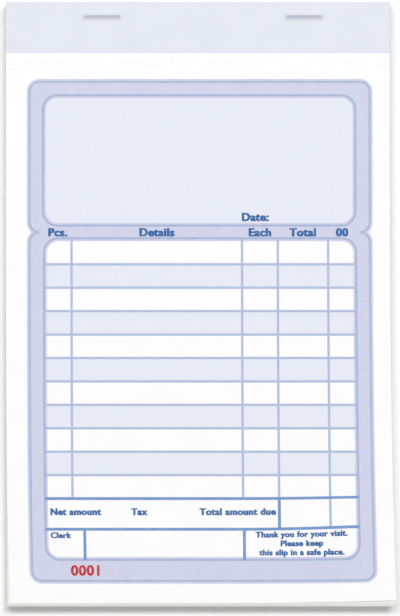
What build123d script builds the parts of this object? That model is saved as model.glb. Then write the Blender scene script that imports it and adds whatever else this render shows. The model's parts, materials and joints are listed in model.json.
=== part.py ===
from build123d import *
import math
import os

# Duplicate receipt book: paired sheets, stapled through their stubs to a backing board, with a paper
# strip glued round the bound edge and over the staples.
# Millimetres. +Z leaves the printed face, +Y points to the bound edge, and the board's back is Z = 0.

# Pad
pad_width = 105.0
pad_height = 165.0
board_thickness = 1.0

# Sheets: each set is an original on top of its copy
set_count = 50
original_thickness = 0.08
copy_thickness = 0.06
sheet_gap = 0.006

# Carbon paper, loose between the first copy and the first original
carbon_thickness = 0.035
carbon_clearance = 0.02
carbon_side_margin = 1.0
carbon_end_margin = 1.5

# Binding strip, folded round the bound edge
strip_depth = 14.0
strip_thickness = 0.10
strip_fold_radius = 0.08
strip_recess = 0.02
glue_gap = 0.01

# Staples, bent from flattened wire
wire_width = 0.60
wire_thickness = 0.40
wire_bend = 0.10
wire_clearance = 0.03
crown_length = 9.8
clinch_length = 3.2
staple_drop = 4.0
left_staple_x = -26.2
right_staple_x = 29.1

# Ridge that each staple crown raises in the strip
ridge_run = 0.9

# Fold and tear lines of a leaf, measured down from the edge of the strip
fold_drop = 0.3
fold_gap = 0.01
tear_drop = 3.0
tear_slit_length = 1.2
tear_slit_width = 0.06
tear_tie = 0.8

# Lines across the page
pad_top = pad_height / 2
pad_bottom = -pad_height / 2
sheet_top = pad_top - strip_thickness - glue_gap
strip_edge = pad_top - strip_depth
fold_line = strip_edge - fold_drop
stub_edge = fold_line + fold_gap
tear_line = strip_edge - tear_drop
staple_line = pad_top - staple_drop

# Levels of the stack, from the back of the board to the top of the first original
step_z = strip_recess + strip_thickness + glue_gap
set_pitch = original_thickness + copy_thickness + 2 * sheet_gap
first_copy_z = board_thickness + (set_count - 1) * set_pitch + sheet_gap
carbon_z = first_copy_z + copy_thickness + carbon_clearance
first_original_z = carbon_z + carbon_thickness + carbon_clearance
stub_top_z = first_original_z + original_thickness

# Staple wire: the legs go down through the slots, and the tips turn in under the board
staple_centres = (left_staple_x, right_staple_x)
leg_spread = crown_length - wire_thickness
leg_places = [(x + side * leg_spread / 2, staple_line) for x in staple_centres for side in (-1, 1)]
slot_length = wire_thickness + 2 * wire_clearance
slot_width = wire_width + 2 * wire_clearance
crown_z = stub_top_z + wire_bend + wire_thickness / 2
clinch_z = step_z + wire_thickness / 2
groove_length = clinch_length + 2 * wire_clearance
groove_depth = wire_thickness + wire_bend
groove_offset = (crown_length - clinch_length) / 2
groove_places = [(x + side * groove_offset, staple_line) for x in staple_centres for side in (-1, 1)]

# Strip: the front flap's two faces, and the hollow ridge over a crown
flap_z = stub_top_z + glue_gap
front_z = flap_z + strip_thickness
ridge_height = crown_z + wire_thickness / 2 + glue_gap - flap_z
ridge_taper = math.degrees(math.atan2(ridge_run, ridge_height))
ridge_wall = strip_thickness * math.tan(math.atan2(ridge_height, ridge_run) / 2)
ridge_places = [(x, staple_line) for x in staple_centres]
hollow_length = crown_length + 2 * (wire_clearance + ridge_run)
hollow_width = wire_width + 2 * (wire_clearance + ridge_run)

os.makedirs("parts", exist_ok=True)


def plain_sheet(z, low, high, width=pad_width):
    """A rectangle at height z, between two lines across the page."""
    with BuildSketch(Plane.XY.offset(z)) as outline:
        with Locations((0, (low + high) / 2)):
            Rectangle(width, high - low)
    return outline.sketch


def punched_sheet(z, low):
    """A sheet from a line across the page up to the bound edge, with a slot for each staple leg."""
    with BuildSketch(Plane.XY.offset(z)) as outline:
        add(plain_sheet(0, low, sheet_top))
        with Locations(*leg_places):
            Rectangle(slot_length, slot_width, mode=Mode.SUBTRACT)
    return outline.sketch


# Backing board: stepped back where the strip wraps it, and grooved for the turned-in staple tips
with BuildPart() as backing_board:
    extrude(punched_sheet(0, pad_bottom), amount=board_thickness)
    extrude(plain_sheet(0, strip_edge - glue_gap, sheet_top), amount=step_z, mode=Mode.SUBTRACT)
    with BuildSketch(Plane.XY.offset(step_z)):
        with Locations(*groove_places):
            Rectangle(groove_length, slot_width)
    extrude(amount=groove_depth, mode=Mode.SUBTRACT)
backing_board.part.label = "backing_board"
export_step(backing_board.part, "parts/backing_board.step")

# Receipt sets under the first one, numbered from the top of the pad
for number in range(2, set_count + 1):
    copy_z = board_thickness + (set_count - number) * set_pitch + sheet_gap
    original_z = copy_z + copy_thickness + sheet_gap
    with BuildPart() as receipt_set:
        extrude(punched_sheet(copy_z, pad_bottom), amount=copy_thickness)
        extrude(punched_sheet(original_z, pad_bottom), amount=original_thickness)
    receipt_set.part.label = f"receipt_set_{number:02d}"
    export_step(receipt_set.part, f"parts/receipt_set_{number:02d}.step")

# First copy: the stub stays in the binding, the leaf turns on the fold line
with BuildPart() as copy_01_stub:
    extrude(punched_sheet(first_copy_z, stub_edge), amount=copy_thickness)
copy_01_stub.part.label = "copy_01_stub"
export_step(copy_01_stub.part, "parts/copy_01_stub.step")

with BuildPart() as copy_01:
    extrude(plain_sheet(first_copy_z, pad_bottom, fold_line), amount=copy_thickness)
copy_01.part.label = "copy_01"
export_step(copy_01.part, "parts/copy_01.step")

# Carbon paper: smaller all round than the leaf below its tear line, so that its edges stay hidden
with BuildPart() as carbon_sheet:
    extrude(
        plain_sheet(
            carbon_z,
            pad_bottom + carbon_end_margin,
            tear_line - carbon_end_margin,
            pad_width - 2 * carbon_side_margin,
        ),
        amount=carbon_thickness,
    )
carbon_sheet.part.label = "carbon_sheet"
export_step(carbon_sheet.part, "parts/carbon_sheet.step")

# First original: as the copy, with a row of slits along which its leaf tears off
with BuildPart() as original_01_stub:
    extrude(punched_sheet(first_original_z, stub_edge), amount=original_thickness)
original_01_stub.part.label = "original_01_stub"
export_step(original_01_stub.part, "parts/original_01_stub.step")

tear_pitch = tear_slit_length + tear_tie
tear_count = int(pad_width // tear_pitch)
with BuildPart() as original_01:
    with BuildSketch(Plane.XY.offset(first_original_z)):
        add(plain_sheet(0, pad_bottom, fold_line))
        with Locations((0, tear_line)):
            with GridLocations(tear_pitch, 0, tear_count, 1):
                Rectangle(tear_slit_length, tear_slit_width, mode=Mode.SUBTRACT)
    extrude(amount=original_thickness)
original_01.part.label = "original_01"
export_step(original_01.part, "parts/original_01.step")

# Staples: flattened wire swept down one leg, across the crown and down the other
for name, centre in zip(("left_staple", "right_staple"), staple_centres):
    tip = crown_length / 2 - clinch_length
    leg = leg_spread / 2
    with BuildPart() as staple:
        with BuildLine(Plane.XZ.offset(-staple_line)) as wire:
            FilletPolyline(
                (centre - tip, clinch_z),
                (centre - leg, clinch_z),
                (centre - leg, crown_z),
                (centre + leg, crown_z),
                (centre + leg, clinch_z),
                (centre + tip, clinch_z),
                radius=wire_bend + wire_thickness / 2,
            )
        with BuildSketch(Plane.YZ.offset(centre - tip)):
            with Locations((staple_line, clinch_z)):
                Rectangle(wire_width, wire_thickness)
        sweep(path=wire.line)
    staple.part.label = name
    export_step(staple.part, f"parts/{name}.step")

# Binding strip: a thin wrap over front, top edge and back, embossed by the two crowns
with BuildPart() as binding_strip:
    with BuildSketch(Plane.YZ.offset(-pad_width / 2)) as wrap:
        with BuildLine():
            Polyline(
                (strip_edge, strip_recess),
                (pad_top, strip_recess),
                (pad_top, front_z),
                (strip_edge, front_z),
                (strip_edge, flap_z),
                (pad_top - strip_thickness, flap_z),
                (pad_top - strip_thickness, strip_recess + strip_thickness),
                (strip_edge, strip_recess + strip_thickness),
                close=True,
            )
        make_face()
        fillet(wrap.vertices().group_by(Axis.X)[-1], radius=strip_fold_radius)
    extrude(amount=pad_width)
    with BuildSketch(Plane.XY.offset(front_z)):
        with Locations(*ridge_places):
            Rectangle(hollow_length + 2 * ridge_wall, hollow_width + 2 * ridge_wall)
    extrude(amount=ridge_height, taper=ridge_taper)
    with BuildSketch(Plane.XY.offset(flap_z)):
        with Locations(*ridge_places):
            Rectangle(hollow_length, hollow_width)
    extrude(amount=ridge_height, taper=ridge_taper, mode=Mode.SUBTRACT)
binding_strip.part.label = "binding_strip"
export_step(binding_strip.part, "parts/binding_strip.step")
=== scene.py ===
"""Looks of a duplicate receipt pad: printed sheets, carbon, paper wrap, stack and board.

The file is laid out as an add-on and run as a script. Lengths are metres in the pad's own
frame, with X to the right across the page, Y up the page and Z out of it. The sheets are
numpy surfaces, and the print is a thin film of ink laid on them.
"""

import json
import math

import bpy
import numpy as np
from mathutils.geometry import delaunay_2d_cdt
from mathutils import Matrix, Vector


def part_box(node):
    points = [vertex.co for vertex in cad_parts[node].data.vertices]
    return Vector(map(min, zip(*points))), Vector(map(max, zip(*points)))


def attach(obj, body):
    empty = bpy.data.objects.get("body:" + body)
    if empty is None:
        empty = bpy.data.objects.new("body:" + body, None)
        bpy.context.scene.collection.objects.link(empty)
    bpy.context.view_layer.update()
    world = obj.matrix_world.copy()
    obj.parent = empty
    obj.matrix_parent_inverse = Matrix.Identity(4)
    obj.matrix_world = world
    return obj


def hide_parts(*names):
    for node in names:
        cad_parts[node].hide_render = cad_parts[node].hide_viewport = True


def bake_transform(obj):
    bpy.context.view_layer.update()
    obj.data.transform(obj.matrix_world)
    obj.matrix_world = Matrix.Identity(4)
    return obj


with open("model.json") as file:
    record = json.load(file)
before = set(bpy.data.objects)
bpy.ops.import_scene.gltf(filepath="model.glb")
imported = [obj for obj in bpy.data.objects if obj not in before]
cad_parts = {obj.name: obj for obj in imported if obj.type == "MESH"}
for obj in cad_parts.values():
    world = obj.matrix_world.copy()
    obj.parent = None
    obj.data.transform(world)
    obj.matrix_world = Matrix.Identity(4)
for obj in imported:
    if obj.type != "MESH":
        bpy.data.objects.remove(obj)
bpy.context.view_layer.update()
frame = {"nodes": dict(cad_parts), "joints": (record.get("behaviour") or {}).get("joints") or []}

bl_info = {
    "name": "Duplicate Receipt Pad",
    "version": (1, 0, 0),
    "blender": (4, 2, 0),
    "location": "View3D > Sidebar > Receipt Pad",
    "description": "Builds the printed sheets, carbon, wrap and stage of a receipt pad",
    "category": "Object",
}

MM = 0.001
LEAF_LOW, LEAF_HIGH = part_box("original_01")
COPY_LOW, COPY_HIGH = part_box("copy_01")
CARBON_LOW, CARBON_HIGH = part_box("carbon_sheet")
NEXT_LOW, NEXT_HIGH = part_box("receipt_set_02")
WRAP_LOW, WRAP_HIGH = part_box("binding_strip")
STAPLES = tuple(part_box(node) for node in ("left_staple", "right_staple"))
SETS = tuple(sorted(node for node in frame["nodes"] if node.startswith("receipt_set_")))
JOINTS = {joint["name"]: joint for joint in frame["joints"]}
BOARD_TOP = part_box("backing_board")[1].z
FOLD_Y = JOINTS["copy_turn"]["pos_m"][1]
PAGE_WIDTH = LEAF_HIGH.x - LEAF_LOW.x
PAGE_LENGTH = FOLD_Y - LEAF_LOW.y

# The printed sheets: name, body, height of the paper, share of the top sheet's lift, share of
# the ink's full thickness that the room above the sheet allows, and running number.
PRINTED = (
    ("first_form", "original_leaf", LEAF_HIGH.z, 1.0, 1.0, "0001"),
    ("copy_form", "copy_leaf", COPY_HIGH.z, 0.0, 1.0, "0001"),
    ("next_form", "block", NEXT_HIGH.z, 0.0, 0.35, "0002"),
)

# A film of ink fills this share of its layer and ends at this share of it, clear of its neighbours.
FILM_SHARE, FILM_TOP = 0.8, 0.9


def linear(red, green, blue):
    """Linear colour of an 8-bit screen colour, by the sRGB curve."""
    share = np.array((red, green, blue)) / 255
    curve = np.where(share <= 0.04045, share / 12.92, ((share + 0.055) / 1.055) ** 2.4)
    return tuple(float(value) for value in curve)


def length(name, description, millimetres):
    """A length property, with its default given in millimetres."""
    return bpy.props.FloatProperty(
        name=name, description=description, default=millimetres * MM, unit="LENGTH", precision=5
    )


def lengths(name, description, *millimetres):
    """A property of several lengths, with its defaults given in millimetres."""
    return bpy.props.FloatVectorProperty(
        name=name, description=description, default=[value * MM for value in millimetres],
        size=len(millimetres), unit="LENGTH", precision=5,
    )


def angle(name, description, degrees):
    """An angle property, with its default given in degrees."""
    return bpy.props.FloatProperty(
        name=name, description=description, default=math.radians(degrees), subtype="ANGLE"
    )


def ratio(name, description, default):
    """A property for a share of something."""
    return bpy.props.FloatProperty(
        name=name, description=description, default=default,
        subtype="FACTOR", soft_min=0.0, soft_max=2.0, precision=3,
    )


def colour(name, description, red, green, blue):
    """A colour property, with its default given as an 8-bit screen colour."""
    return bpy.props.FloatVectorProperty(
        name=name, description=description, default=linear(red, green, blue),
        subtype="COLOR", size=3, min=0.0, max=1.0,
    )


class ReceiptPageSettings(bpy.types.PropertyGroup):
    """How the sheets lie and how the top one is perforated."""

    drift_right: length("Right drift", "Sideways drift of the top sheet's lower right corner", 1.84)
    drift_left: length("Left drift", "Sideways drift of the top sheet's lower left corner", 1.1)
    rise: length("Corner rise", "How far the top sheet's lower right corner lies up the page", 0.8)
    rise_from: ratio("Rise from", "Share of the width from which that corner rises", 0.63)
    ripple: length("Ripple", "How far the top sheet's right side is pushed up above its foot", 0.75)
    ripple_from: ratio("Ripple from", "Share of the width from which the ripple grows", 0.6)
    ripple_run: ratio("Ripple run", "Share of the width over which the ripple grows", 0.3)
    ripple_place: ratio("Ripple place", "Share of the way down at which the ripple is strongest", 0.85)
    ripple_spread: ratio("Ripple spread", "Share of the way down over which the ripple dies away", 0.055)
    foot: length("Foot", "Steady growth, up the stack, of how far the sheets' ends stand out", 1.1)
    shrink: length("Shrink", "How far the ends of the top sheets draw back again", 1.55)
    lift: length("Lift", "Height by which the top sheet's lower right corner stands off the pad", 0.5)
    unevenness: length("Unevenness", "How far single sheets of the stack stand out at their free end", 0.08)
    fold: length("Fold length", "Length of sheet that bends when a leaf is turned", 3.0)
    slit: length("Slit", "Length of one slit of the tear line", 1.2)
    tie: length("Tie", "Paper left between two slits", 0.8)
    slit_width: length("Slit width", "Width of a slit of the tear line", 0.03)
    tear_drop: length("Tear line", "Distance of the tear line below the wrap's edge", 3.0)
    hole_play: length("Hole play", "Room round a staple leg in the sheets", 0.03)


class ReceiptFormSettings(bpy.types.PropertyGroup):
    """Layout of the printed form, as lines across (X) and up (Y) the page."""

    frame: lengths("Frame", "Left, right, bottom and top line of the frame", -46.0, 47.0, -76.08, 60.6)
    frame_waist: length("Frame waist", "Line at which the frame's two halves meet", 19.45)
    frame_radius: length("Frame radius", "Corner radius of the frame", 2.7)
    head: lengths("Head", "Left, right, bottom and top line of the head box", -42.36, 43.09, 21.28, 56.93)
    table: lengths("Table", "Left, right, bottom and top line of the table", -42.1, 43.25, -70.24, 17.8)
    box_radius: length("Box radius", "Corner radius of the head box and the table", 3.85)
    first_row: length("First row", "Height of the table's first row", 7.11)
    row: length("Row", "Height of each row after the first", 6.41)
    amount_line: length("Amount line", "Line under the amount row", -61.81)
    columns: lengths("Columns", "Lines after the table's first four columns", -34.55, 12.08, 21.85, 35.6)
    last_cells: lengths("Last cells", "Lines between the three cells of the last row", -31.3, 12.3)
    bleed: length("Bleed", "How far the band is printed past the middle of the lines that edge it", 0.8)
    outline: length("Outline", "Width of the frame's outer line", 0.6)
    box_rule: length("Box rule", "Width of the line round the head box and the table", 0.6)
    rule: length("Rule", "Width of a fine rule", 0.66)
    heavy_rule: length("Heavy rule", "Width of a heavy rule", 0.8)
    ink: length("Ink", "Thickness of one layer of ink", 0.004)
    head_height: length("Heading height", "Capital height of the column headings", 2.1)
    text_height: length("Caption height", "Capital height of the captions", 1.75)
    note_height: length("Note height", "Capital height of the note", 1.5)
    number_height: length("Number height", "Height of the sheet number", 2.7)
    date_x: length("Date place", "Left end of the date caption, across", 11.98)
    date_rise: length("Date rise", "Height of the date's middle over the head box's lower line", 2.35)
    caption_x: length("Caption margin", "Space between a cell's left line and its caption", 1.4)
    caption_rise: length("Caption rise", "Height of the captions over the middle of the amount row", 0.6)
    tax_x: length("Tax place", "Middle of the tax caption, across", -16.3)
    due_gap: length("Due gap", "Space between the amount row's last caption and the line after it", 1.0)
    clerk_drop: length("Clerk drop", "Drop of the clerk caption's middle below the amount line", 1.65)
    note_rise: length("Note rise", "Height of the note over the middle of its cell", 0.25)
    note_pitch: length("Note pitch", "Distance between two lines of the note", 2.45)
    number_x: length("Number place", "Middle of the sheet number, across", -31.0)
    bold: ratio("Bold", "Width added round each letter stroke, as a share of the capitals' height", 0.045)
    strike: ratio("Double strike", "Distance between two strikes of a word, as a share of its height", 0.12)
    number_strike: ratio("Number strike", "Distance between two strikes of the number, as that share", 0.04)
    spacing: ratio("Spacing", "Space between letters, as a share of the font's own", 1.1)


class ReceiptWrapSettings(bpy.types.PropertyGroup):
    """The paper wrap round the head of the pad."""

    thickness: length("Thickness", "Thickness of the wrap", 0.10)
    glue: length("Glue", "Gap between the wrap and the top sheet", 0.01)
    front_fold: length("Front fold", "Radius of the fold at the front", 0.40)
    top_clear: length("Top clearance", "How far the top sheet stops short of the wrap's outer side", 0.348)
    copy_clear: length("Copy clearance", "How far the copy stops short of the wrap's outer side", 0.144)
    back_fold: length("Back fold", "Radius of the fold at the back", 0.15)
    upper_run: length("Upper run", "Run of a staple ridge towards the fold", 0.7)
    lower_run: length("Lower run", "Run of a staple ridge towards the page", 1.6)
    end_run: length("End run", "Run of a staple ridge past the ends of the crown", 0.8)
    wire: length("Wire", "Width of the staple wire", 0.60)
    wire_thickness: length("Wire thickness", "Thickness of the flattened staple wire", 0.40)
    # Painted shade: how strongly the wire's tone is carried on as a painted shade into the paper that hangs
    # from the wire towards the page.
    painted_shade: ratio("Shade", "How far the wire's tone shows in the paper that hangs from it", 0.28)
    sharp: angle("Sharp edges", "Bend from which an edge of the wrap is shaded as sharp", 50.0)


class ReceiptColourSettings(bpy.types.PropertyGroup):
    """Colours of the papers, inks, board and wire."""

    paper: colour("Paper", "White form paper", 254, 254, 254)
    stack: colour("Stack", "Paper of the sets in the pad", 248, 248, 247)
    wrap: colour("Wrap", "Pale wrap paper", 230, 233, 242)
    # Painted over the wrap: the staple wire's tone where it shows through, and the same tone as a painted
    # shade below the wire.
    wire_show_and_painted_shade: colour("Wire under wrap", "Wrap where the staple wire shows through", 176, 183, 202)
    band: colour("Band", "Ink of the frame's band", 208, 210, 233)
    tint: colour("Tint", "Ink of the tinted rows and the head box", 231, 234, 245)
    rule: colour("Rule ink", "Ink of the fine rules", 176, 189, 221)
    box: colour("Box ink", "Ink of the lines round the head box and the table", 168, 181, 213)
    outline: colour("Outline ink", "Ink of the frame's outer line", 171, 186, 213)
    heavy: colour("Heavy ink", "Ink of the heavy rules", 115, 150, 202)
    letters: colour("Letter ink", "Ink of the words", 48, 101, 164)
    number: colour("Number ink", "Ink of the sheet number", 196, 44, 42)
    carbon_back: colour("Carbon back", "Dull upper side of the carbon sheet", 40, 48, 84)
    carbon_face: colour("Carbon face", "Coated lower side of the carbon sheet", 20, 26, 66)
    board: colour("Board", "Grey board", 148, 143, 134)
    fleck: colour("Fleck", "Fibre flecks of the board", 104, 98, 90)
    steel: colour("Steel", "Staple wire", 176, 178, 182)
    floor: colour("Floor", "Floor under the pad", 252, 252, 252)


class ReceiptStageSettings(bpy.types.PropertyGroup):
    """Camera and light."""

    view_height: length("View height", "Height of page that the picture takes in", 168.54)
    view_x: length("View X", "Point of the page under the camera, across", 0.6)
    view_y: length("View Y", "Point of the page under the camera, up the page", -1.27)
    camera_height: length("Camera height", "Height of the camera over the page", 1300.0)
    lamp_distance: length("Lamp distance", "Distance of the lamps from the pad", 2200.0)
    lamp_size: length("Lamp size", "Side of each lamp", 400.0)
    lean_back: angle("Lean back", "Lean of the back, right and left lamps up the page", 15.0)
    lean_right: angle("Lean right", "Lean of the right lamp to the right", 10.0)
    lean_left: angle("Lean left", "Lean of the left lamp to the left", 11.5)
    lean_front: angle("Lean front", "Lean of the front lamp down the page", 7.0)
    back_lamp: ratio("Back lamp", "Share of the light that comes from the back lamp", 0.17)
    right_lamp: ratio("Right lamp", "Share of the light that comes from the right lamp", 0.26)
    left_lamp: ratio("Left lamp", "Share of the light that comes from the left lamp", 0.18)
    front_lamp: ratio("Front lamp", "Share of the light that comes from the front lamp", 0.09)
    fill: ratio("Fill", "Share of the light that comes from all round", 0.3)


# Materials


def grain(tree, scale, stretch=(1, 1, 1), detail=2.0, roughness=0.6):
    """Noise of a scale per metre over Object coordinates that are multiplied by the stretch."""
    coordinates = tree.nodes.new("ShaderNodeTexCoord")
    mapping = tree.nodes.new("ShaderNodeMapping")
    mapping.inputs["Scale"].default_value = stretch
    texture = tree.nodes.new("ShaderNodeTexNoise")
    for socket, value in (("Scale", scale), ("Detail", detail), ("Roughness", roughness)):
        texture.inputs[socket].default_value = value
    tree.links.new(coordinates.outputs["Object"], mapping.inputs["Vector"])
    tree.links.new(mapping.outputs["Vector"], texture.inputs["Vector"])
    return texture.outputs["Fac"]


def ramp(tree, value, low, high, start=0.0, end=1.0):
    """Value carried from low..high to start..end, smoothly and held at the ends."""
    node = tree.nodes.new("ShaderNodeMapRange")
    node.interpolation_type = "SMOOTHSTEP"
    for socket, number in (("From Min", low), ("From Max", high), ("To Min", start), ("To Max", end)):
        node.inputs[socket].default_value = number
    tree.links.new(value, node.inputs["Value"])
    return node.outputs["Result"]


def shaded(base, part):
    """A colour times a part."""
    return tuple(min(channel * part, 1.0) for channel in base)


def started(name, roughness, specular=0.5, metallic=0.0):
    """A new node material with its shader's plain values set, as (material, tree, shader)."""
    material = bpy.data.materials.new(name)
    material.use_nodes = True
    shader = material.node_tree.nodes["Principled BSDF"]
    values = {"Roughness": roughness, "Specular IOR Level": specular, "Metallic": metallic}
    for socket, value in values.items():
        shader.inputs[socket].default_value = value
    return material, material.node_tree, shader


def coloured(tree, shader, base, layers):
    """Gives the shader a base colour, and over it the colour of each layer, (share, colour)."""
    for part, over in layers:
        node = tree.nodes.new("ShaderNodeMix")
        node.data_type = "RGBA"
        tree.links.new(part, node.inputs["Factor"])
        # The node has sockets of each name for numbers, vectors and colours: these are the colours'.
        under, above, result = node.inputs[6], node.inputs[7], node.outputs[2]
        above.default_value = (*over, 1.0)
        if isinstance(base, bpy.types.NodeSocket):
            tree.links.new(base, under)
        else:
            under.default_value = (*base, 1.0)
        base = result
    tree.links.new(base, shader.inputs["Base Color"])


def bumped(tree, shader, height, strength, depth):
    """Joins a height to the shader's normal."""
    bump = tree.nodes.new("ShaderNodeBump")
    bump.inputs["Strength"].default_value = strength
    bump.inputs["Distance"].default_value = depth
    tree.links.new(height, bump.inputs["Height"])
    tree.links.new(bump.outputs["Normal"], shader.inputs["Normal"])


def paper(name, base, cloud=0.985, fibre=0.975, under=None):
    """Uncoated paper: a faint cloud from the sheet's formation, finer fibre, and fibre bump.

    Where the mesh's attribute "under" is 1, the colour under is laid over the paper; on the wrap it is the
    staple wire showing through, and below the wire a painted shade.
    """
    material, tree, shader = started(name, 0.82, 0.15)
    clouds = grain(tree, 140, detail=3.0, roughness=0.5)
    fibres = grain(tree, 4200, (1, 0.45, 1))
    layers = [
        (ramp(tree, clouds, 0.65, 0.35), shaded(base, cloud)),
        (ramp(tree, fibres, 0.45, 0.25), shaded(base, fibre)),
    ]
    if under is not None:
        attribute = tree.nodes.new("ShaderNodeAttribute")
        attribute.attribute_name = "under"
        layers.append((attribute.outputs["Fac"], under))
    coloured(tree, shader, base, layers)
    bumped(tree, shader, fibres, 0.25, 0.02 * MM)
    return material


def stacked_paper(name, base):
    """Paper of a cut stack: like paper, with each sheet's cut edge a little lighter or darker."""
    material, tree, shader = started(name, 0.88, 0.1)
    sheets = grain(tree, 1, (6, 6, 9000), roughness=0.7)
    fibres = grain(tree, 3600)
    coloured(tree, shader, base, (
        (ramp(tree, sheets, 0.7, 0.3), shaded(base, 0.84)),
        (ramp(tree, fibres, 0.5, 0.25), shaded(base, 0.93)),
    ))
    bumped(tree, shader, sheets, 0.4, 0.04 * MM)
    return material


def ink(name, base):
    """Printing ink soaked into paper: an uneven tone, and the paper's fibre in its surface."""
    material, tree, shader = started(name, 0.7, 0.15)
    clouds = grain(tree, 500, detail=3.0)
    fibres = grain(tree, 4200)
    lighter = tuple(channel + (1 - channel) * 0.06 for channel in base)
    coloured(tree, shader, base, (
        (ramp(tree, clouds, 0.35, 0.65), lighter),
        (ramp(tree, fibres, 0.42, 0.2), lighter),
    ))
    bumped(tree, shader, fibres, 0.2, 0.02 * MM)
    return material


def carbon(name, base, roughness, streak):
    """Carbon tissue: a waxy coat in long streaks down the sheet, with soft handling marks."""
    material, tree, shader = started(name, roughness, 0.2)
    streaks = grain(tree, 900, (1, 0.06, 1), detail=3.0)
    marks = grain(tree, 70, detail=4.0, roughness=0.65)
    coloured(tree, shader, base, (
        (ramp(tree, streaks, 0.7, 0.3), shaded(base, streak)),
        (ramp(tree, marks, 0.58, 0.72), shaded(base, 1.5)),
    ))
    gloss = ramp(tree, marks, 0.3, 0.7, roughness - 0.1, roughness + 0.1)
    tree.links.new(gloss, shader.inputs["Roughness"])
    bumped(tree, shader, marks, 0.35, 0.1 * MM)
    return material


def grey_board(name, base, fleck):
    """Grey board of recycled fibre: dark and pale flecks, ply lines at the cut edge, a dull face."""
    material, tree, shader = started(name, 0.9, 0.1)
    clouds = grain(tree, 260, detail=4.0)
    plies = grain(tree, 1, (3, 3, 5200))
    flecks = grain(tree, 2200, (1, 0.4, 1), roughness=0.5)
    coloured(tree, shader, base, (
        (ramp(tree, clouds, 0.7, 0.3), shaded(base, 0.86)),
        (ramp(tree, plies, 0.65, 0.35), shaded(base, 0.82)),
        (ramp(tree, flecks, 0.62, 0.7), fleck),
        (ramp(tree, flecks, 0.36, 0.28), shaded(base, 1.35)),
    ))
    bumped(tree, shader, flecks, 0.4, 0.06 * MM)
    return material


def wire(name, base):
    """Drawn steel wire: fine draw lines along the crown that roughen the shine."""
    material, tree, shader = started(name, 0.3, metallic=1.0)
    lines = grain(tree, 9000, (0.02, 1, 1))
    coloured(tree, shader, base, [(ramp(tree, lines, 0.7, 0.3), shaded(base, 0.75))])
    tree.links.new(ramp(tree, lines, 0.3, 0.7, 0.32, 0.5), shader.inputs["Roughness"])
    bumped(tree, shader, lines, 0.2, 0.01 * MM)
    return material


# Surfaces


def built(name, points, faces, materials):
    """A mesh object at the origin from points, faces and materials."""
    mesh = bpy.data.meshes.new(name)
    mesh.from_pydata(points.tolist(), [], [list(face) for face in faces])
    for material in materials:
        mesh.materials.append(material)
    if mesh.validate():
        raise RuntimeError(f"{name} came out with faulty faces")
    mesh.update()
    made = bpy.data.objects.new(name, mesh)
    bpy.context.scene.collection.objects.link(made)
    return made


def grid_faces(rows, columns):
    """Quads over a grid of points that is numbered row by row, seen from above."""
    index = np.arange(rows * columns).reshape(rows, columns)
    corners = (index[:-1, :-1], index[:-1, 1:], index[1:, 1:], index[1:, :-1])
    return np.stack(corners, -1).reshape(-1, 4)


def spans(left, right, heights, columns):
    """Flat patch between two edges: at each height, points are spread evenly from left to right."""
    share = np.linspace(0, 1, columns + 1)
    left, right = (np.broadcast_to(edge, heights.shape) for edge in (left, right))
    across = left[:, None] + (right - left)[:, None] * share
    up = np.broadcast_to(heights[:, None], across.shape)
    return np.stack((across, up), -1).reshape(-1, 2), grid_faces(len(heights), columns + 1)


def joined(patches):
    """Several flat patches as one, with points that lie within a nanometre made one point."""
    starts = np.cumsum([0] + [len(points) for points, _ in patches[:-1]])
    points = np.concatenate([points for points, _ in patches])
    faces = np.concatenate([faces + start for (_, faces), start in zip(patches, starts)])
    keys = np.round(points / 1e-9).astype(np.int64)
    _, first, where = np.unique(keys, axis=0, return_index=True, return_inverse=True)
    return points[first], where.reshape(-1)[faces]


def slab(top, faces, thickness):
    """Closed plate: the top, the same surface let down by the thickness, and walls between.

    An edge that no other face has the other way round is open, and a wall stands along it.
    """
    count = len(top)
    starts, ends = faces.reshape(-1), np.roll(faces, -1, axis=1).reshape(-1)
    rim = ~np.isin(starts * count + ends, ends * count + starts)
    a, b = starts[rim], ends[rim]
    walls = np.stack((b, a, a + count, b + count), -1)
    points = np.concatenate((top, top - (0, 0, thickness)))
    return points, [faces, faces[:, ::-1] + count, walls]


def cells(across, up, boxes, inside=False):
    """Flat grid of the cells between lines whose middle lies outside the boxes, or inside them.

    Each box is (left, right, low, high).
    """
    points, faces = spans(across[0], across[-1], up, len(across) - 1)
    points[:, 0] = np.tile(across, len(up))
    x, y = points[faces].mean(axis=1).T
    left, right, low, high = np.reshape(boxes, (-1, 4)).T[:, :, None]
    within = ((x > left) & (x < right) & (y > low) & (y < high)).any(axis=0)
    used, faces = np.unique(faces[within == inside], return_inverse=True)
    return points[used], faces.reshape(-1, 4)


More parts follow.
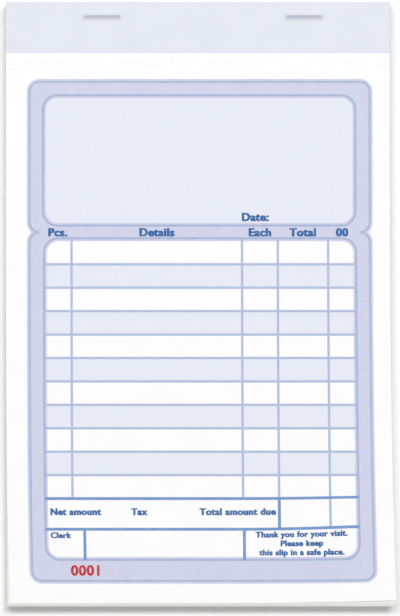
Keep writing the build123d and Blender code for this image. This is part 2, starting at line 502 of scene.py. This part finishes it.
def laid(page, flat, z, lifted=0.0, nudge=(0.0, 0.0)):
    """Where flat page points lie on the sheet whose upper side is at z, as points in space.

    Down the page from the fold, a sheet drifts sideways by powers of the share of the way to
    its free end. The board holds the lowest sheet square, and the drift grows by a power of
    the height up the stack. The sheets' ends are rounded like a thumbed pad's: they stand out
    in step with the height, less a high power of it that draws the top ones back. The top
    sheets' right side is pushed up the page at the corner and, as a bell curve down the page,
    above it. A lifted sheet's free end stands off the pad, and a nudge moves it about.
    """
    x, y = flat[:, 0], flat[:, 1]
    down = np.clip((FOLD_Y - y) / PAGE_LENGTH, 0, 1)
    across = np.clip(x / PAGE_WIDTH + 0.5, 0, 1)
    height = np.clip((z - BOARD_TOP) / (LEAF_HIGH.z - BOARD_TOP), 0, 1)
    end = down**24
    drift = page.drift_right * down**3 * across**2.6 + page.drift_left * down**5 * (1 - across) ** 2
    corner = np.clip((across - page.rise_from) / (1 - page.rise_from), 0, 1)
    side = np.clip((across - page.ripple_from) / page.ripple_run, 0, 1)
    bell = np.exp(-(((down - page.ripple_place) / page.ripple_spread) ** 2))
    push = page.rise * end * corner**1.5 + page.ripple * bell * side**2
    foot = page.foot * height - page.shrink * height**7
    lift = page.lift * down**5 * (0.3 + 0.7 * across**2)
    return np.stack((
        x + height**4 * drift + nudge[0] * down**2,
        y + height**14 * push - foot * end + nudge[1] * down**2,
        z + lifted * lift,
    ), -1)


def plates(name, layers, materials):
    """One object of closed plates, each given as its upper points, their faces and a thickness."""
    points, faces, count = [], [], 0
    for top, flat_faces, thickness in layers:
        solid, groups = slab(top, flat_faces, thickness)
        points.append(solid)
        faces += [face + count for group in groups for face in group]
        count += len(solid)
    return built(name, np.concatenate(points), faces, materials)


def leg_holes(page, wrap):
    """Holes for the staple legs, as (left, right, low, high)."""
    holes = []
    for low, high in STAPLES:
        middle = (low.y + high.y) / 2
        half, side = wrap.wire / 2 + page.hole_play, wrap.wire_thickness + page.hole_play
        legs = (low.x - page.hole_play, low.x + side), (high.x - side, high.x + page.hole_play)
        holes += [(*leg, middle - half, middle + half) for leg in legs]
    return holes


def hole_sides(holes):
    """Left and right side of every hole."""
    return [x for hole in holes for x in hole[:2]]


def cut_lines(low, high, cuts, step):
    """Sorted lines from low to high: the cuts, and even steps between them."""
    marks = np.unique(np.round([low, *cuts, high], 9))
    parts = [
        np.linspace(a, b, max(int(math.ceil((b - a) / step)), 1), endpoint=False)
        for a, b in zip(marks[:-1], marks[1:])
    ]
    return np.concatenate(parts + [marks[-1:]])


def run_lines(*runs):
    """Sorted lines of several runs, each one as cut_lines takes it."""
    return np.unique(np.concatenate([cut_lines(*run) for run in runs]))


# The printed form


def inset(heights, low, high, radius):
    """How far a rounded box's side stands in at each height: a circle's arc in the corners."""
    into = np.maximum(np.maximum(low + radius - heights, heights - high + radius), 0)
    return radius - np.sqrt(np.maximum(radius**2 - np.minimum(into, radius) ** 2, 0))


def corner_heights(low, high, radius, steps=9):
    """Heights that follow a rounded box's corner arcs."""
    arc = radius * (1 - np.cos(np.linspace(0, math.pi / 2, steps)))
    return np.concatenate((low + arc, high - arc))


def rounded(corners, steps=9):
    """Path through right-angled corners, each (x, y, radius), with an arc in place of each corner."""
    path = []
    for before, here, after in zip(corners[:-2], corners[1:-1], corners[2:]):
        point = np.array(here[:2])
        back, on = np.array(before[:2]) - point, np.array(after[:2]) - point
        back, on = back / np.linalg.norm(back), on / np.linalg.norm(on)
        turn = np.linspace(0, math.pi / 2, steps)[:, None]
        path.append(point + here[2] * (back + on - on * np.cos(turn) - back * np.sin(turn)))
    return np.concatenate([np.array([corners[0][:2]]), *path, np.array([corners[-1][:2]])])


def stroke(path, width, closed=False):
    """Line of the given width along a path, in steps short enough to follow the sheet.

    Each step is a quad between points to the left and to the right of the path, and a closed
    line's last points are its first ones.
    """
    if closed:
        path = np.concatenate((path, path[:1]))
    run = np.concatenate(([0], np.cumsum(np.linalg.norm(np.diff(path, axis=0), axis=1))))
    run, first = np.unique(np.round(run, 9), return_index=True)
    path = path[first]
    marks = cut_lines(run[0], run[-1], run[1:-1], 3 * MM)
    dense = np.stack([np.interp(marks, run, path[:, axis]) for axis in (0, 1)], -1)
    ahead = np.gradient(dense, axis=0)
    if closed:
        ahead[0] = ahead[-1] = dense[1] - dense[-2]
    ahead /= np.linalg.norm(ahead, axis=1)[:, None]
    side = np.stack((ahead[:, 1], -ahead[:, 0]), -1) * width / 2
    points = np.stack((dense - side, dense + side), 1).reshape(-1, 2)
    return joined([(points, grid_faces(len(dense), 2))])


def box_path(left, right, low, high, radius):
    """Closed path round a rounded box."""
    corners = [(left, low, radius), (right, low, radius), (right, high, radius), (left, high, radius)]
    middle = (left, (low + high) / 2, 0)
    return rounded([middle, *corners, middle])[:-1]


def form_lines(form):
    """Heights of the table's row lines, from the first to the total line."""
    *_, top = form.table
    count = 11
    return top - form.first_row - form.row * np.arange(count)


def form_fills(form):
    """The band of the frame and the tinted areas, as two flat patches.

    The band runs between the frame's two rounded halves and the two boxes, and a little past
    their lines: side strips whose inner edge follows the boxes' corners, and bars above,
    between and below the boxes.
    """
    band_rows, head_rows, tint_rows, side_columns, bar_columns = 48, 14, 4, 3, 24
    near = 1e-8
    bleed, waist = form.bleed, form.frame_waist
    wide, tight = form.frame_radius + bleed, form.box_radius - bleed
    frame_left, frame_right, frame_low, frame_high = form.frame
    head_left, head_right, head_low, head_high = form.head
    table_left, table_right, table_low, table_high = form.table
    upper, lower = (waist - bleed, frame_high + bleed), (frame_low - bleed, waist + bleed)
    head, table = (head_low + bleed, head_high - bleed), (table_low + bleed, table_high - bleed)
    heights = np.unique(np.round(np.concatenate((
        corner_heights(*upper, wide),
        corner_heights(*lower, wide),
        corner_heights(*head, tight),
        corner_heights(*table, tight),
        np.linspace(lower[0], upper[1], band_rows),
    )), 8))
    outer = np.minimum(inset(heights, *upper, wide), inset(heights, *lower, wide)) - bleed
    inner = np.minimum(inset(heights, *head, tight), inset(heights, *table, tight)) + bleed
    marks = (table_high, head_low)
    left = np.interp(heights, marks, (table_left, head_left)) + inner
    right = np.interp(heights, marks, (table_right, head_right)) - inner
    band = [
        spans(frame_left + outer, left, heights, side_columns),
        spans(right, frame_right - outer, heights, side_columns),
    ]
    for low, high in ((lower[0], table[0]), (table[1], head[0]), (head[1], upper[1])):
        rows = (heights >= low - near) & (heights <= high + near)
        band.append(spans(left[rows], right[rows], heights[rows], bar_columns))

    tall = np.concatenate((corner_heights(*head, tight), np.linspace(*head, head_rows)))
    tall = np.unique(np.round(tall, 8))
    edge = inset(tall, *head, tight) + bleed
    tint = [spans(head_left + edge, head_right - edge, tall, bar_columns)]
    lines = form_lines(form)
    sides = table_left + bleed, table_right - bleed
    for high, low in zip(lines[0:-1:2], lines[1::2]):
        tint.append(spans(*sides, np.linspace(low, high, tint_rows), bar_columns))
    return joined(band), joined(tint)


def ruled(lines, width):
    """Straight rules that may cross, as one flat patch of cells.

    Each line is (left, right, low, high) along its middle, so two of the four are alike.
    """
    boxes = np.array(lines) + np.array((-0.5, 0.5, -0.5, 0.5)) * width * (
        np.diff(lines)[:, [2, 2, 0, 0]] > 0
    )
    across = cut_lines(boxes[:, 0].min(), boxes[:, 1].max(), boxes[:, :2].ravel(), 4 * MM)
    up = cut_lines(boxes[:, 2].min(), boxes[:, 3].max(), boxes[:, 2:].ravel(), 4 * MM)
    return cells(across, up, boxes, True)


def form_rules(form):
    """The frame's two outlines, the boxes' lines, the fine rules and the heavy rules."""
    left, right, low, high = form.frame
    radius, waist = form.frame_radius, form.frame_waist
    begin, finish = (left + radius, waist, 0), (right - radius, waist, 0)
    outlines = []
    for end in (high, low):
        corners = ((left, waist), (left, end), (right, end), (right, waist))
        path = rounded([begin, *((*corner, radius) for corner in corners), finish])
        outlines.append(stroke(path, form.outline))
    boxes = [
        stroke(box_path(*box, form.box_radius), form.box_rule, True) for box in (form.head, form.table)
    ]
    left, right, low, high = form.table
    *rows, total = form_lines(form)
    *columns, last = form.columns
    fine = [(left, right, row, row) for row in rows]
    fine += [(column, column, total, high) for column in columns]
    fine.append((last, last, form.amount_line, high))
    heavy = [(left, right, row, row) for row in (total, form.amount_line)]
    heavy.append((columns[-1], columns[-1], form.amount_line, total))
    heavy += [(cell, cell, low, form.amount_line) for cell in form.last_cells]
    return outlines, boxes, ruled(fine, form.rule), ruled(heavy, form.heavy_rule)


def form_words(form):
    """Plain field words and their places, as (words, x, y, capital height, alignment)."""
    left, right, low, _ = form.table
    head_low, price_end, note_left = form.head[2], form.columns[2], form.last_cells[1]
    stops = (left, *form.columns, right)
    heads = ("Pcs.", "Details", "Each", "Total", "00")
    amount = (form_lines(form)[-1] + form.amount_line) / 2 + form.caption_rise
    caption_x, due_x = left + form.caption_x, price_end - form.due_gap
    note_x = (note_left + right) / 2
    note_y = (form.amount_line + low) / 2 + form.note_rise
    notes = ("Thank you for your visit.", "Please keep", "this slip in a safe place.")
    return (
        *(
            (head, (start + stop) / 2, form.frame_waist, form.head_height, "CENTER")
            for head, start, stop in zip(heads, stops[:-1], stops[1:])
        ),
        ("Date:", form.date_x, head_low + form.date_rise, form.head_height, "LEFT"),
        ("Net amount", caption_x, amount, form.text_height, "LEFT"),
        ("Tax", form.tax_x, amount, form.text_height, "CENTER"),
        ("Total amount due", due_x, amount, form.text_height, "RIGHT"),
        ("Clerk", caption_x, form.amount_line - form.clerk_drop, form.note_height, "LEFT"),
        *(
            (note, note_x, note_y + form.note_pitch * row, form.note_height, "CENTER")
            for note, row in zip(notes, (1, 0, -1))
        ),
    )


def form_number(form, number):
    """The running number in the lower band, as form_words gives words."""
    frame_low, table_low = form.frame[2], form.table[2]
    return number, form.number_x, (frame_low + table_low) / 2, form.number_height, "CENTER"


def letters(form, strike, words, x, y, height, align):
    """Words as two films of ink, capitals as tall as height and centred on y.

    A bold letter is the plain one grown all round and struck twice, side by side.
    """
    curve = bpy.data.curves.new("letters", "FONT")
    curve.align_x, curve.resolution_u, curve.fill_mode = align, 4, "FRONT"
    curve.body, curve.size = "H", 1.0
    text = bpy.data.objects.new("letters", curve)
    bpy.context.scene.collection.objects.link(text)
    capital = flattened(text)[0][:, 1].max()
    curve.body, curve.size = words, height / capital
    curve.offset, curve.space_character = form.bold * height, form.spacing
    points, faces = flattened(text)
    bpy.data.objects.remove(text)
    bpy.data.curves.remove(curve)
    shift = strike * height / 2
    return [
        (layer, (points + (x + way * shift, y - height / 2), faces))
        for layer, way in ((1, -1), (2, 1))
    ]


def flattened(text):
    """A text object's filled letters as flat points and triangles that face up.

    The fill of a grown letter has flat and folded triangles, so its outline is triangulated
    afresh. Triangles that lie in no triangle of the fill, such as a counter's, are left out.
    """
    bpy.context.view_layer.update()
    shown = text.evaluated_get(bpy.context.evaluated_depsgraph_get())
    mesh = bpy.data.meshes.new_from_object(shown)
    mesh.calc_loop_triangles()
    points = np.zeros(len(mesh.vertices) * 3)
    faces = np.zeros(len(mesh.loop_triangles) * 3, np.int32)
    mesh.vertices.foreach_get("co", points)
    mesh.loop_triangles.foreach_get("vertices", faces)
    bpy.data.meshes.remove(mesh)
    points, faces = points.reshape(-1, 3)[:, :2], faces.reshape(-1, 3)

    edges = np.sort(np.stack((faces, np.roll(faces, -1, axis=1)), -1).reshape(-1, 2))
    edges, uses = np.unique(edges, axis=0, return_counts=True)
    whole_hull, nearness = 0, 1e-8
    fresh = delaunay_2d_cdt(points.tolist(), edges[uses == 1].tolist(), [], whole_hull, nearness)
    spots, triangles = np.array(fresh[0]), np.array(fresh[2])
    off_centre = (0.537, 0.269, 0.194)
    within = np.einsum("tcd,c->td", spots[triangles], off_centre)
    corners = points[faces]
    along, away = np.roll(corners, -1, axis=1) - corners, within[:, None, None] - corners
    turn = along[..., 0] * away[..., 1] - along[..., 1] * away[..., 0]
    kept = triangles[(turn > 0).all(axis=-1).any(axis=-1)]
    used, kept = np.unique(kept, return_inverse=True)
    return spots[used], kept.reshape(-1, 3)


def printed(name, films, page, form, material, sheets=PRINTED):
    """Lays films of ink on the printed sheets, each film a layer of ink and a flat patch."""
    for sheet_name, body, z, lifted, room, _ in sheets:
        ink_layer = form.ink * room
        layers = [
            (laid(page, flat, z + ink_layer * (layer + FILM_TOP), lifted), faces, ink_layer * FILM_SHARE)
            for layer, (flat, faces) in films
        ]
        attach(plates(f"{sheet_name}_{name}", layers, [material]), body)


# Operators


class RECEIPT_OT_top_sheet(bpy.types.Operator):
    """Builds the first original: its leaf with the tear line, and its stub under the wrap"""

    bl_idname = "receipt_pad.top_sheet"
    bl_label = "Top Sheet"

    def execute(self, context):
        page, wrap = context.scene.receipt_page, context.scene.receipt_wrap
        tone = paper("form_paper", context.scene.receipt_colours.paper)
        thickness = LEAF_HIGH.z - LEAF_LOW.z
        tear = WRAP_LOW.y - page.tear_drop
        low, high = tear - page.slit_width / 2, tear + page.slit_width / 2
        pitch = page.slit + page.tie
        count = int(PAGE_WIDTH // pitch)
        middles = (np.arange(count) - (count - 1) / 2) * pitch
        slits = np.stack((middles - page.slit / 2, middles + page.slit / 2), -1)
        across = cut_lines(LEAF_LOW.x, LEAF_HIGH.x, slits.reshape(-1), 2 * MM)
        fold_end = FOLD_Y - page.fold
        dense_from = FOLD_Y - 1.5 * page.fold
        up = run_lines(
            (LEAF_LOW.y, dense_from, (), 3 * MM), (dense_from, FOLD_Y, (fold_end, low, high), 0.2 * MM)
        )
        flat, faces = cells(across, up, [(left, right, low, high) for left, right in slits])
        leaf = plates("top_form_leaf", [(laid(page, flat, LEAF_HIGH.z, 1.0), faces, thickness)], [tone])
        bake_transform(leaf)
        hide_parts("original_01")

        holes = leg_holes(page, wrap)
        top = WRAP_HIGH.y - wrap.top_clear
        across = cut_lines(LEAF_LOW.x, LEAF_HIGH.x, hole_sides(holes), 5 * MM)
        up = run_lines((FOLD_Y, WRAP_LOW.y, (), 0.05 * MM), (WRAP_LOW.y, top, holes[0][2:], 3 * MM))
        flat, faces = cells(across, up, holes)
        stub = plates("top_form_stub", [(laid(page, flat, LEAF_HIGH.z), faces, thickness)], [tone])
        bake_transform(stub)
        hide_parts("original_01_stub")
        return {"FINISHED"}


class RECEIPT_OT_copy_sheet(bpy.types.Operator):
    """Builds the first copy in one piece with its stub, with close rows about the wrap's edge"""

    bl_idname = "receipt_pad.copy_sheet"
    bl_label = "Copy Sheet"

    def execute(self, context):
        page, wrap = context.scene.receipt_page, context.scene.receipt_wrap
        tone = paper("copy_paper", shaded(context.scene.receipt_colours.paper, 0.985))
        holes = leg_holes(page, wrap)
        top = WRAP_HIGH.y - wrap.copy_clear
        end = FOLD_Y - page.fold
        across = cut_lines(COPY_LOW.x, COPY_HIGH.x, hole_sides(holes), 5 * MM)
        up = run_lines(
            (COPY_LOW.y, end, (), 5 * MM),
            (end, WRAP_LOW.y, (FOLD_Y,), 0.2 * MM),
            (WRAP_LOW.y, top, holes[0][2:], 3 * MM),
        )
        flat, faces = cells(across, up, holes)
        thickness = COPY_HIGH.z - COPY_LOW.z
        made = plates("copy_sheet", [(laid(page, flat, COPY_HIGH.z), faces, thickness)], [tone])
        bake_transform(made)
        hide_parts("copy_01", "copy_01_stub")
        return {"FINISHED"}


class RECEIPT_OT_carbon_sheet(bpy.types.Operator):
    """Builds the loose carbon sheet, dull above and coated below"""

    bl_idname = "receipt_pad.carbon_sheet"
    bl_label = "Carbon Sheet"

    def execute(self, context):
        page, tones = context.scene.receipt_page, context.scene.receipt_colours
        materials = [
            carbon("carbon_back", tones.carbon_back, 0.75, 0.8),
            carbon("carbon_face", tones.carbon_face, 0.55, 0.7),
        ]
        across = cut_lines(CARBON_LOW.x, CARBON_HIGH.x, (), 5 * MM)
        up = cut_lines(CARBON_LOW.y, CARBON_HIGH.y, (), 5 * MM)
        flat, faces = cells(across, up, ())
        thickness = CARBON_HIGH.z - CARBON_LOW.z
        made = plates("carbon_tissue", [(laid(page, flat, CARBON_HIGH.z), faces, thickness)], materials)
        coated_side = np.arange(len(made.data.polygons)) >= len(faces)
        made.data.polygons.foreach_set("material_index", coated_side.astype(np.int32))
        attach(made, "carbon")
        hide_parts("carbon_sheet")
        return {"FINISHED"}


class RECEIPT_OT_form_print(bpy.types.Operator):
    """Prints the first three forms: band and tints, rules, plain field words and sheet number"""

    bl_idname = "receipt_pad.form_print"
    bl_label = "Form Print"

    def execute(self, context):
        scene = context.scene
        page, form, tones = scene.receipt_page, scene.receipt_form, scene.receipt_colours
        band, tint = form_fills(form)
        outlines, boxes, fine, heavy = form_rules(form)
        words = [film for place in form_words(form) for film in letters(form, form.strike, *place)]
        for name, films, ink_name, tone in (
            ("band", [(0, band)], "band_ink", tones.band),
            ("tint", [(0, tint)], "tint_ink", tones.tint),
            ("outline", list(enumerate(outlines, 1)), "outline_ink", tones.outline),
            ("rules", [(1, fine)], "rule_ink", tones.rule),
            ("boxes", [(2, box) for box in boxes], "box_ink", tones.box),
            ("heavy_rules", [(3, heavy)], "heavy_ink", tones.heavy),
            ("words", words, "letter_ink", tones.letters),
        ):
            printed(name, films, page, form, ink(ink_name, tone))
        red = ink("number_ink", tones.number)
        for target in PRINTED:
            number = letters(form, form.number_strike, *form_number(form, target[-1]))
            printed("number", number, page, form, red, [target])
        return {"FINISHED"}


class RECEIPT_OT_binding_wrap(bpy.types.Operator):
    """Builds the paper wrap: a folded section carried across the pad, raised over the staples"""

    bl_idname = "receipt_pad.binding_wrap"
    bl_label = "Binding Wrap"

    def execute(self, context):
        wrap, tones = context.scene.receipt_wrap, context.scene.receipt_colours
        # The wrap's colour under is the wire's tone where it shows through, carried on below the wire as a
        # painted shade.
        tone = paper("wrap_paper", tones.wrap, 0.98, 0.965, tones.wire_show_and_painted_shade)
        staple = (STAPLES[0][0].y + STAPLES[0][1].y) / 2
        section, out = self.section(wrap, staple)
        ring = np.concatenate((section, (section - wrap.thickness * out)[::-1]))
        front = out[:, 1] == 1
        front = np.concatenate((front, front[::-1]))
        across = self.lines_across(wrap)
        rows, columns = len(ring), len(across)
        points = np.zeros((rows, columns, 3))
        points[..., 0] = across
        points[..., 1:] = ring[:, None]
        rise, under = np.zeros((2, rows, columns))
        x, y = points[front, :, :2].transpose(2, 0, 1)
        # under holds the wire's show-through over each crown and the painted shade below it.
        rise[front], under[front] = self.over_staples(wrap, x, y, staple)
        crest = WRAP_HIGH.z - LEAF_HIGH.z - wrap.glue - wrap.thickness
        points[..., 2] += crest * rise

        faces = grid_faces(rows + 1, columns) % (rows * columns)
        index = np.arange(rows * columns).reshape(rows, columns)
        ends = []
        for column, way in ((0, 1), (-1, -1)):
            outer, inner = index[:rows // 2, column], index[rows // 2:, column][::-1]
            ends.append(np.stack((outer[:-1], outer[1:], inner[1:], inner[:-1]), -1)[:, ::way])
        made = built("binding_wrap", points.reshape(-1, 3), np.concatenate((faces, *ends)), [tone])
        made.data.shade_smooth()
        made.data.set_sharp_from_angle(angle=wrap.sharp)
        shown = made.data.attributes.new("under", "FLOAT", "POINT")
        shown.data.foreach_set("value", under.ravel().astype(np.float32))
        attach(made, "block")
        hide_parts("binding_strip")
        return {"FINISHED"}

    @staticmethod
    def section(wrap, staple):
        """The wrap's outer side as points (y, z) and outward directions, from front edge to back edge.

        A level front flap, a quarter circle at each fold, and a level back flap.
        """
        low, high, back = WRAP_LOW.y, WRAP_HIGH.y, WRAP_LOW.z
        front = LEAF_HIGH.z + wrap.glue + wrap.thickness
        ridge = (staple - wrap.wire - wrap.lower_run, staple + wrap.wire + wrap.upper_run)
        over = run_lines(
            (low, ridge[0], (), 2 * MM), (*ridge, (), 0.08 * MM), (ridge[1], high - wrap.front_fold, (), MM)
        )[:-1]
        under = cut_lines(low, high - wrap.back_fold, (), 2 * MM)[::-1][1:]
        turn = np.linspace(math.pi / 2, 0, 9)
        fold = np.stack((np.cos(turn), np.sin(turn)), -1)
        back_fold = fold[::-1] * (1, -1)
        parts = (
            (np.stack((over, np.full(len(over), front)), -1), np.tile((0.0, 1.0), (len(over), 1))),
            ((high - wrap.front_fold, front - wrap.front_fold) + wrap.front_fold * fold, fold),
            ((high - wrap.back_fold, back + wrap.back_fold) + wrap.back_fold * back_fold, back_fold),
            (np.stack((under, np.full(len(under), back)), -1), np.tile((0.0, -1.0), (len(under), 1))),
        )
        return [np.concatenate(pieces) for pieces in zip(*parts)]

    @staticmethod
    def lines_across(wrap):
        """Lines across the pad, close together at both ends of each staple."""
        reach = wrap.end_run + MM
        starts = [x for low, high in STAPLES for x in (low.x - wrap.end_run, high.x - MM)]
        stops = [x for start in starts for x in (start, start + reach)]
        whole = cut_lines(WRAP_LOW.x, WRAP_HIGH.x, stops, 4 * MM)
        ends = [cut_lines(start, start + reach, (), 0.12 * MM) for start in starts]
        return np.unique(np.round(np.concatenate((whole, *ends)), 9))

    @staticmethod
    def over_staples(wrap, x, y, staple):
        """Height of the ridges as a share of the crest, and how far the wire's tone and a painted shade are
        laid on.

        Over a crown the paper is level. Past its ends and towards the fold it comes down as a
        smooth step, and towards the page it hangs from the wire in a curve that flattens out.
        The tone is 1 over the wire, where the wire shows through, and 0 away from it, with a soft edge;
        towards the page it goes on as a faint painted shade, standing in for the shade of the paper that
        hangs from the wire.
        """
        rise, tone = np.zeros((2, *x.shape))
        play, soft = 0.05 * MM, 0.3 * MM
        half = wrap.wire / 2 + play
        for low, high in STAPLES:
            past = np.abs(x - (low.x + high.x) / 2) - (high.x - low.x) / 2
            beyond = np.maximum(past - play, 0) / wrap.end_run
            over = np.maximum(y - staple - half, 0) / wrap.upper_run
            below = np.clip((staple - half - y) / wrap.lower_run, 0, 1)
            fall = np.clip(np.hypot(beyond, over), 0, 1)
            rise = np.maximum(rise, (1 - fall**2 * (3 - 2 * fall)) * (1 - below) ** 4)
            inside = np.clip(0.5 - past / soft, 0, 1)
            edge = np.clip(0.5 - (np.abs(y - staple) - wrap.wire / 2) / soft, 0, 1)
            # Painted shade: the wire's tone carried down the page from the wire, fading out over the lower
            # run.
            hang = np.clip((staple - y) / wrap.lower_run, 0, 1)
            painted_shade = wrap.painted_shade * (1 - hang**2) * (y < staple)
            tone = np.maximum(tone, inside * np.maximum(edge, painted_shade))
        return rise, tone


class RECEIPT_OT_stack(bpy.types.Operator):
    """Builds the sets in the pad, a copy and an original each, a little uneven at the free end"""

    bl_idname = "receipt_pad.stack"
    bl_label = "Stack"

    def execute(self, context):
        page, wrap = context.scene.receipt_page, context.scene.receipt_wrap
        tone = stacked_paper("set_paper", context.scene.receipt_colours.stack)
        holes = leg_holes(page, wrap)
        across = cut_lines(NEXT_LOW.x, NEXT_HIGH.x, hole_sides(holes), 9 * MM)
        row_count, crowding = 22, 1.6
        graded = np.linspace(0, 1, row_count) ** crowding
        rows = NEXT_LOW.y + (NEXT_HIGH.y - NEXT_LOW.y) * graded
        flat, faces = cells(across, np.unique(np.round((*rows, *holes[0][2:]), 9)), holes)
        copy_thickness, leaf_thickness = COPY_HIGH.z - COPY_LOW.z, LEAF_HIGH.z - LEAF_LOW.z
        chance = np.random.default_rng(seed=4)
        for node in SETS:
            low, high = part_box(node)
            spread = page.unevenness * (high.z < NEXT_HIGH.z)
            layers = [
                (laid(page, flat, z, 0.0, chance.uniform(-1, 1, 2) * spread), faces, thickness)
                for z, thickness in ((low.z + copy_thickness, copy_thickness), (high.z, leaf_thickness))
            ]
            made = plates(node.replace("receipt_", "paper_"), layers, [tone])
            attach(made, "block")
            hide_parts(node)
        return {"FINISHED"}


class RECEIPT_OT_board(bpy.types.Operator):
    """Gives the backing board its grey board"""

    bl_idname = "receipt_pad.board"
    bl_label = "Board"

    def execute(self, context):
        tones = context.scene.receipt_colours
        coated(frame["nodes"]["backing_board"], grey_board("grey_board", tones.board, tones.fleck))
        return {"FINISHED"}


class RECEIPT_OT_staples(bpy.types.Operator):
    """Gives the two staples their drawn wire"""

    bl_idname = "receipt_pad.staples"
    bl_label = "Staples"

    def execute(self, context):
        tone = wire("staple_wire", context.scene.receipt_colours.steel)
        for node in ("left_staple", "right_staple"):
            coated(frame["nodes"][node], tone)
        return {"FINISHED"}


def coated(node, material):
    """Puts one material on a CAD node."""
    node.data.materials.clear()
    node.data.materials.append(material)


class RECEIPT_OT_stage(bpy.types.Operator):
    """Sets the floor, the light and the camera that looks straight down at the page"""

    bl_idname = "receipt_pad.stage"
    bl_label = "Stage"

    def execute(self, context):
        scene = context.scene
        stage, tones = scene.receipt_stage, scene.receipt_colours
        reach, low = 3.0, -0.02 * MM
        sides = ((-reach, -reach), (reach, -reach), (reach, reach), (-reach, reach))
        corners = [(*side, low) for side in sides]
        material, _, shader = started("floor", 0.9, 0.0)
        shader.inputs["Base Color"].default_value = (*tones.floor, 1.0)
        floor = built("floor", np.array(corners), [(0, 1, 2, 3)], [material])

        world = bpy.data.worlds.new("surround")
        world.use_nodes = True
        scene.world = world
        nodes, links = world.node_tree.nodes, world.node_tree.links
        background = nodes["Background"]
        background.inputs["Color"].default_value = (1, 1, 1, 1)
        path = nodes.new("ShaderNodeLightPath")
        seen = path.outputs["Is Camera Ray"]
        for ray in ("Is Glossy Ray", "Is Transmission Ray"):
            either = nodes.new("ShaderNodeMath")
            either.operation = "MAXIMUM"
            links.new(seen, either.inputs[0])
            links.new(path.outputs[ray], either.inputs[1])
            seen = either.outputs[0]
        strength = nodes.new("ShaderNodeMapRange")
        strength.inputs["To Min"].default_value = stage.fill
        strength.inputs["To Max"].default_value = 1.0
        links.new(seen, strength.inputs["Value"])
        links.new(strength.outputs["Result"], background.inputs["Strength"])

        aim = bpy.data.objects.new("aim", None)
        scene.collection.objects.link(aim)
        for name, part, aside, behind in (
            ("back_lamp", stage.back_lamp, 0, stage.lean_back),
            ("right_lamp", stage.right_lamp, stage.lean_right, stage.lean_back),
            ("left_lamp", stage.left_lamp, -stage.lean_left, stage.lean_back),
            ("front_lamp", stage.front_lamp, 0, -stage.lean_front),
        ):
            side, back = math.tan(aside), math.tan(behind)
            steep = 1 / math.sqrt(1 + side**2 + back**2)
            light = bpy.data.lights.new(name, "AREA")
            light.size = stage.lamp_size
            # This energy lights a level white sheet to that share of white.
            light.energy = part / steep * math.pi**2 * stage.lamp_distance**2
            lamp = bpy.data.objects.new(name, light)
            lamp.location = np.array((side, back, 1)) * steep * stage.lamp_distance
            scene.collection.objects.link(lamp)
            turn = lamp.constraints.new("TRACK_TO")
            turn.target, turn.track_axis, turn.up_axis = aim, "TRACK_NEGATIVE_Z", "UP_Y"

        camera = bpy.data.cameras.new("camera")
        camera.sensor_width = 36.0
        camera.lens = camera.sensor_width * stage.camera_height / stage.view_height
        camera.clip_start, camera.clip_end = 0.05, 20.0
        view = bpy.data.objects.new("camera", camera)
        view.location = (stage.view_x, stage.view_y, LEAF_HIGH.z + stage.camera_height)
        scene.collection.objects.link(view)
        scene.camera = view
        scene.view_settings.view_transform = "Standard"
        return {"FINISHED"}


OPERATORS = (
    RECEIPT_OT_top_sheet, RECEIPT_OT_copy_sheet, RECEIPT_OT_carbon_sheet, RECEIPT_OT_form_print,
    RECEIPT_OT_binding_wrap, RECEIPT_OT_stack, RECEIPT_OT_board, RECEIPT_OT_staples, RECEIPT_OT_stage,
)
SETTINGS = (
    ("receipt_page", ReceiptPageSettings), ("receipt_form", ReceiptFormSettings),
    ("receipt_wrap", ReceiptWrapSettings), ("receipt_colours", ReceiptColourSettings),
    ("receipt_stage", ReceiptStageSettings),
)


class RECEIPT_PT_sidebar(bpy.types.Panel):
    """Lists the settings and the operators of the receipt pad"""

    bl_label = "Receipt Pad"
    bl_idname = "RECEIPT_PT_sidebar"
    bl_space_type = "VIEW_3D"
    bl_region_type = "UI"
    bl_category = "Receipt Pad"

    def draw(self, context):
        for operator in OPERATORS:
            self.layout.operator(operator.bl_idname)
        for name, group in SETTINGS:
            box = self.layout.box()
            box.label(text=group.__doc__.strip("."))
            for key in group.__annotations__:
                box.prop(getattr(context.scene, name), key)


def register():
    """Registers the settings, the operators and the panel."""
    for name, group in SETTINGS:
        bpy.utils.register_class(group)
        setattr(bpy.types.Scene, name, bpy.props.PointerProperty(type=group))
    for item in (*OPERATORS, RECEIPT_PT_sidebar):
        bpy.utils.register_class(item)


def unregister():
    """Takes back what register did."""
    for item in (RECEIPT_PT_sidebar, *reversed(OPERATORS)):
        bpy.utils.unregister_class(item)
    for name, group in reversed(SETTINGS):
        delattr(bpy.types.Scene, name)
        bpy.utils.unregister_class(group)


def main():
    """Builds every piece and the stage."""
    register()
    for operator in OPERATORS:
        name = operator.bl_idname.removeprefix("receipt_pad.")
        getattr(bpy.ops.receipt_pad, name)()


if __name__ == "__main__":
    main()
